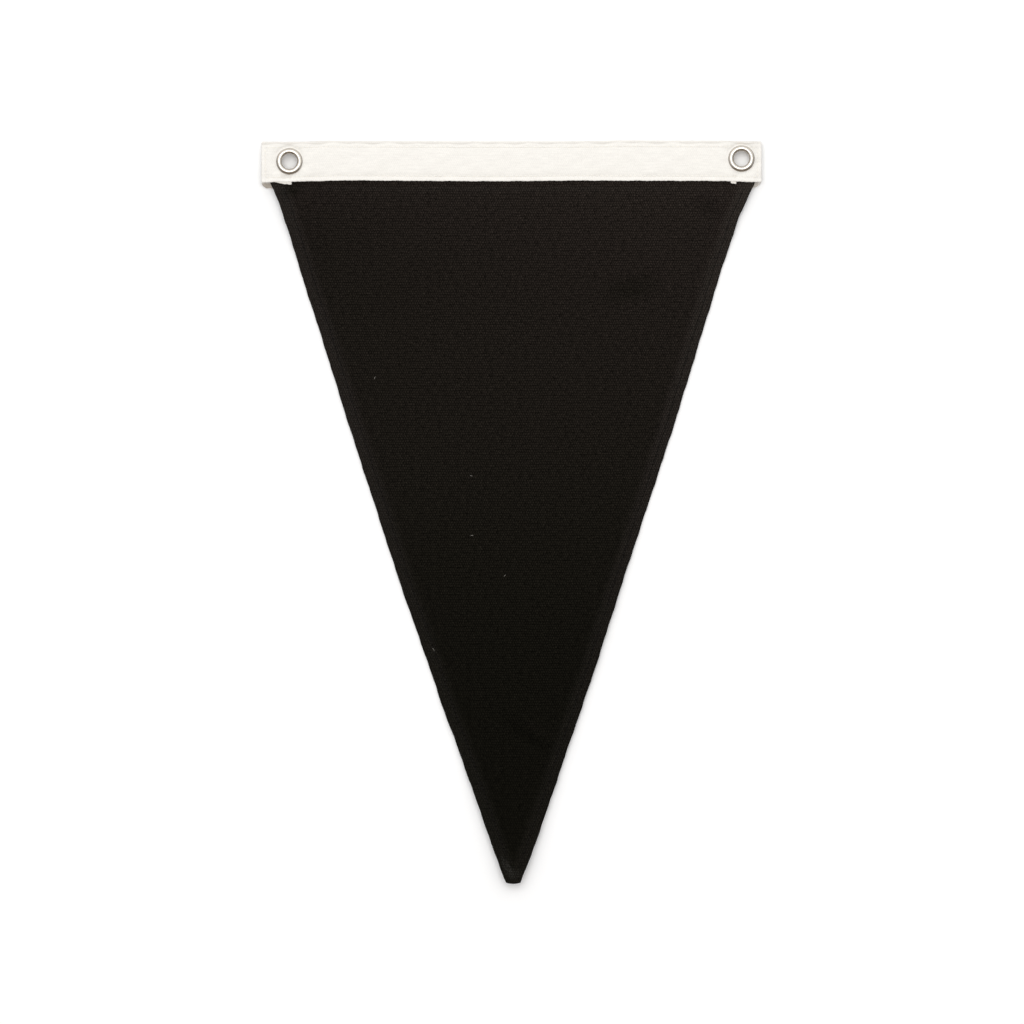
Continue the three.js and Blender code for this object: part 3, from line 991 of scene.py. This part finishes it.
def turnedRing(name, profile, eyelet, finish):
    # the section's corners are cut twice so that it runs smoothly, and it is turned round the eyelet's axis
    for _ in range(turned["smoothings"]):
        after = np.roll(profile, -1, axis=0)
        cuts = [0.75 * profile + 0.25 * after, 0.25 * profile + 0.75 * after]
        profile = np.stack(cuts, axis=1).reshape(-1, 2)
    after = np.roll(profile, -1, axis=0)
    if np.sum(profile[:, 0] * after[:, 1] - after[:, 0] * profile[:, 1]) < 0:
        profile = profile[::-1]
    angle = circle(turned["around"])
    section = headingAt(np.array(eyelet["x"], float))
    base = section["middle"] + heading["endHalf"]
    x = eyelet["x"] + profile[:, :1] * np.cos(angle)
    y = eyelet["y"] + profile[:, :1] * np.sin(angle)
    index = np.arange(x.size).reshape(x.shape)
    after = np.roll(index, -1, axis=0)
    faces = stacked(index, np.roll(index, -1, axis=1), np.roll(after, -1, axis=1), after)
    points = stacked(x, y, base + profile[:, 1:]).reshape(-1, 3)
    return addPiece(name, points, faces.reshape(-1, 4), finish)


def directionsOf(points):
    ahead = np.gradient(points, axis=0)
    return ahead / np.linalg.norm(ahead, axis=1, keepdims=True)


stitch = {"half": 1.0, "radius": 0.17, "bow": 0.06, "around": 6}


def stitchRow(x, y, z, facing):
    # every stitch is a short round thread that bows up between its two needle holes
    centres = stacked(x, y, z)
    along = directionsOf(centres)
    up = np.zeros(centres.shape)
    up[:, 2] = facing
    share = np.array([-1, -0.88, -0.55, 0, 0.55, 0.88, 1])
    radius = stitch["radius"] * np.sqrt(1.04 - share**6)
    bow = stitch["bow"] * (1 - share**4)
    angle = circle(stitch["around"])
    side = np.cross(up, along)
    ahead = (share * stitch["half"])[:, None] + 0 * angle
    aside = radius[:, None] * np.cos(angle)
    lifted = bow[:, None] + radius[:, None] * np.sin(angle)
    points = (
        centres[:, None, None, :]
        + ahead[None, ..., None] * along[:, None, None, :]
        + aside[None, ..., None] * side[:, None, None, :]
        + lifted[None, ..., None] * up[:, None, None, :]
    )
    return points.reshape(len(centres), -1, 3), *tubeFaces(len(share), stitch["around"])


def tubePiece(name, tubes, finish):
    # joins groups of tubes, each group with its points and the walls and caps of one tube
    blocks, faces, offset = [], [], 0
    for points, walls, caps in tubes:
        starts = offset + np.arange(len(points)) * points.shape[1]
        faces += (walls[None] + starts[:, None, None]).reshape(-1, 4).tolist()
        for cap in caps:
            faces += (cap[None] + starts[:, None]).tolist()
        offset += points.shape[0] * points.shape[1]
        blocks.append(points.reshape(-1, 3))
    return addPiece(name, np.vstack(blocks), faces, finish)


def headingSeams():
    # the two long seams and the two end seams, on the front and on the back
    rows = []
    pitch = seams["pitch"]
    count = int((heading["halfLength"] - seams["end"]) / pitch)
    x = np.arange(-count, count + 1) * pitch
    section = headingAt(x)
    for y in (section["front"] + seams["bottom"], section["top"] - seams["top"]):
        keep = eyeletReach(x, y) > seams["clear"]
        rows.append((x[keep], y[keep]))
    y = np.arange(math.ceil(seams["endFrom"] / pitch), math.ceil(seams["endTo"] / pitch)) * pitch
    for side in (-1, 1):
        rows.append((np.full(len(y), side * (heading["halfLength"] - seams["end"])), y))
    made = []
    for x, y in rows:
        section = headingAt(x)
        for height, facing in ((headingFront, 1), (headingBack, -1)):
            made.append(stitchRow(x, y, height(x, y, section), facing))
    return made


def hemSeams():
    # one seam along each hem, on the front and on the back
    step = seams["hemStretch"] * seams["pitch"]
    made = []
    for fromLeft, inset, lowest in (
        (True, seams["hemLeft"], seams["hemLeftTo"]),
        (False, seams["hemRight"], seams["hemRightTo"]),
    ):
        rows = np.arange(math.ceil(lowest / step), math.floor(seams["hemTop"] / step)) * step
        x, y, high, low = clothAt(np.full(len(rows), inset), fromLeft, rows)
        made += [stitchRow(x, y, high, 1), stitchRow(x, y, low, -1)]
    return made


# Fibres of lint on the black cloth: middle x and y, direction in degrees from X, length, curl, thickness.
lint = [
    (118.6, 148.2, 25, 2.2, 0.4, 0.22),
    (-83.3, 82.0, 70, 1.6, 0.3, 0.25),
    (-24.7, 22.2, -30, 1.4, 0.3, 0.25),
    (-24.1, -13.8, 10, 1.8, -0.4, 0.22),
    (-4.0, -38.8, 50, 1.5, 0.3, 0.22),
    (-47.9, -83.9, -60, 2.0, 0.5, 0.22),
]

fibre = {"along": 9, "around": 5, "high": 0.12}


def lintPiece(finish):
    # short curled fibres that lie on the black cloth
    tubes = []
    above = np.array([0, 0, 1.0])
    share = np.linspace(-1, 1, fibre["along"])
    angle = circle(fibre["around"])
    for middleX, middleY, degrees, length, curl, thickness in lint:
        turn = math.radians(degrees)
        ahead = share * length / 2
        aside = curl * (1 - share**2)
        x = middleX + ahead * math.cos(turn) - aside * math.sin(turn)
        y = middleY + ahead * math.sin(turn) + aside * math.cos(turn)
        left = readTable(sides, "y", "left", y)
        _, _, high, _ = clothAt(x - left, True, y)
        centres = stacked(x, y, high + fibre["high"])
        side = np.cross(above, directionsOf(centres))
        thick = thickness / 2 * np.sqrt(1.1 - share**4)
        points = (
            centres[:, None, :]
            + (thick[:, None] * np.cos(angle))[..., None] * side[:, None, :]
            + (thick[:, None] * np.sin(angle))[..., None] * above
        )
        tubes.append((points.reshape(1, -1, 3), *tubeFaces(len(share), len(angle))))
    return tubePiece("lint_fibres", tubes, finish)


# The strip's turned-in ends show below its front edge in two places.
tabs = [
    {"name": "left", "from": -144.3, "to": -134.0, "lowFrom": 201.0, "lowTo": 199.5},
    {"name": "right", "from": 133.6, "to": 137.1, "lowFrom": 200.6, "lowTo": 200.1},
]

tab = {"high": 206, "level": 0.45, "thick": 0.7, "steps": 16, "tone": 0.9, "cornerRound": 0.5, "rim": 3}


def tabMarks(x, y):
    return np.full((len(x), 3), noSeam), np.full(len(x), tab["tone"]), 0 * x


def tabPiece(side, finish):
    # a thin tongue of the strip's turned-in end, out of the middle of the front leg's edge
    turns = np.linspace(0, math.pi, tab["steps"] + 1)
    shares = (1 - np.cos(turns)) / 2
    across = side["from"] + (side["to"] - side["from"]) * shares[None, :]
    low = side["lowFrom"] + (side["lowTo"] - side["lowFrom"]) * shares[None, :]
    low = low + 0.1 * np.sin(2.1 * across) + 0.08 * np.sin(5.3 * across + 1)
    low = low + tab["cornerRound"] * (1 - np.sin(turns)[None, :])
    y = low + (tab["high"] - low) * shares[:, None]
    x = across + 0 * y
    section = headingAt(x)
    rim = np.minimum(tab["rim"] * np.sin(turns)[:, None] * np.sin(turns)[None, :], 1)
    core = section["middle"] + section["slotHalf"] + (section["half"] - section["slotHalf"]) * tab["level"]
    front = stacked(x, y, core + rim * tab["thick"] / 2)
    back = stacked(x, y, core - rim * tab["thick"] / 2)
    tongue = closedSheet(f"turned_in_end_{side['name']}", front, back, stacked(x, y), finish)
    markPoints(tongue, tabMarks)
    return tongue


softbox = {"tiltX": -1, "tiltY": 26, "away": 5.0, "wide": 12.0, "long": 12.4, "radiance": 0.67}

keyLight = {"tiltX": -3.5, "tiltY": 12, "away": 5.0, "wide": 4.3, "long": 4.3, "radiance": 2.12}


def addSoftbox(name, light):
    # a softbox that faces the pennant from a distance, tilted from straight above towards X and Y
    data = bpy.data.lights.new(name, "AREA")
    data.shape = "RECTANGLE"
    data.size, data.size_y = light["wide"], light["long"]
    data.energy = light["radiance"] * math.pi * light["wide"] * light["long"]
    lamp = addObject(name, data)
    tiltX, tiltY = math.radians(light["tiltX"]), math.radians(light["tiltY"])
    direction = Vector((math.sin(tiltX), math.sin(tiltY), math.cos(tiltX) * math.cos(tiltY))).normalized()
    lamp.location = direction * light["away"]
    lamp.rotation_mode = "QUATERNION"
    lamp.rotation_quaternion = direction.to_track_quat("Z", "Y")
    lamp.visible_camera = False


def addCamera():
    data = bpy.data.cameras.new("camera")
    wide = picture["pixels"] * picture["pixel"]
    data.sensor_width = picture["sensor"]
    data.lens = picture["sensor"] * picture["cameraAbove"] / wide
    data.clip_end = 20
    camera = addObject("camera", data)
    middle = picture["pixels"] / 2
    x = (middle - picture["originX"]) * picture["pixel"]
    y = (picture["originY"] - middle) * picture["pixel"]
    camera.location = (x * metre, y * metre, (picture["plane"] + picture["cameraAbove"]) * metre)
    bpy.context.scene.camera = camera


board = {"half": 15000, "low": -0.05, "dark": "#f8f8f8", "pale": "#fafafa"}


def addFloor():
    # a smooth white board, a hair below the part
    material, add = newMaterial("white painted board")
    place = add("TexCoord").outputs["Object"]
    mottle = add("TexNoise", {"Vector": place, "Scale": 3.0, "Detail": 3.0})
    colours = {0: mottle, 6: linear(board["dark"]), 7: linear(board["pale"])}
    paint = add("Mix", colours, data_type="RGBA")
    addShader(add, {"Base Color": paint.outputs[2], "Roughness": 0.9, "Specular IOR Level": 0.1})
    half, low = board["half"], board["low"]
    square = np.array([[-half, -half, low], [half, -half, low], [half, half, low], [-half, half, low]], float)
    floor = addPiece("floor", square, [[0, 1, 2, 3]], material)


studio = {"fill": 0.38, "colour": "#fbfbfb"}


def addWorld():
    world = bpy.data.worlds.new("studio")
    world.use_nodes = True
    add = nodeAdder(world.node_tree)
    evenly = {"Color": linear(studio["colour"]), "Strength": studio["fill"]}
    sky = add("Background", evenly)
    add("OutputWorld", {"Surface": sky})
    bpy.context.scene.world = world


card = {"half": 5000, "near": -2600, "tall": 3800, "colour": "#786e64"}


def addCard():
    # a brown card at the point's end, which the nickel's lower slopes reflect
    material, add = newMaterial("brown card")
    addShader(add, {"Base Color": linear(card["colour"]), "Roughness": 0.9})
    half, near, tall = card["half"], card["near"], card["tall"]
    square = np.array([[-half, near, 0], [half, near, 0], [half, near, tall], [-half, near, tall]], float)
    piece = addPiece("brown_card", square, [[0, 3, 2, 1]], material)
    piece.visible_camera = False


addCamera()
addFloor()
addCard()
addWorld()
addSoftbox("wide softbox over the heading", softbox)
addSoftbox("smaller softbox in front of it", keyLight)
bpy.context.scene.view_settings.view_transform = "Standard"
print("camera, floor and lights made")

black = duckMaterial(blackDuck)
natural = duckMaterial(naturalDuck)
blackThread = threadMaterial("black cotton thread, spun", "#131110")
naturalThread = threadMaterial("natural cotton thread, spun", "#efebe1")
lintFinish = threadMaterial("cotton lint, loose fibre", "#8f8b84")
nickel = nickelMaterial()

pennant = closedSheet("pennant_duck", *clothGrids(), black)
punchHoles(pennant)
markPoints(pennant, clothMarks)
print("cloth made:", len(pennant.data.polygons), "faces")
band = closedSheet("heading_duck", *headingGrids(), natural)
punchHoles(band)
markPoints(band, headingMarks)
print("heading made:", len(band.data.polygons), "faces")
tongues = [tabPiece(side, natural) for side in tabs]
hemThread = tubePiece("hem_stitches", hemSeams(), blackThread)
headingThread = tubePiece("heading_stitches", headingSeams(), naturalThread)
fibres = lintPiece(lintFinish)
print("stitches and lint made")

rings = []
eyeletProfile = np.vstack([domeArc(), eyeletSection])
for eyelet in eyelets:
    for kind, profile in (("eyelet", eyeletProfile), ("washer", np.array(washerSection))):
        node = f"{kind}_{eyelet['name']}"
        ring = turnedRing(f"{node}_nickel", profile, eyelet, nickel)
        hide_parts(node)
        rings.append(ring)
print("eyelets made")

for piece in [pennant, band, hemThread, headingThread, fibres, *tongues, *rings]:
    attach(piece, "root")
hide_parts("pennant_cloth")
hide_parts("heading_band")
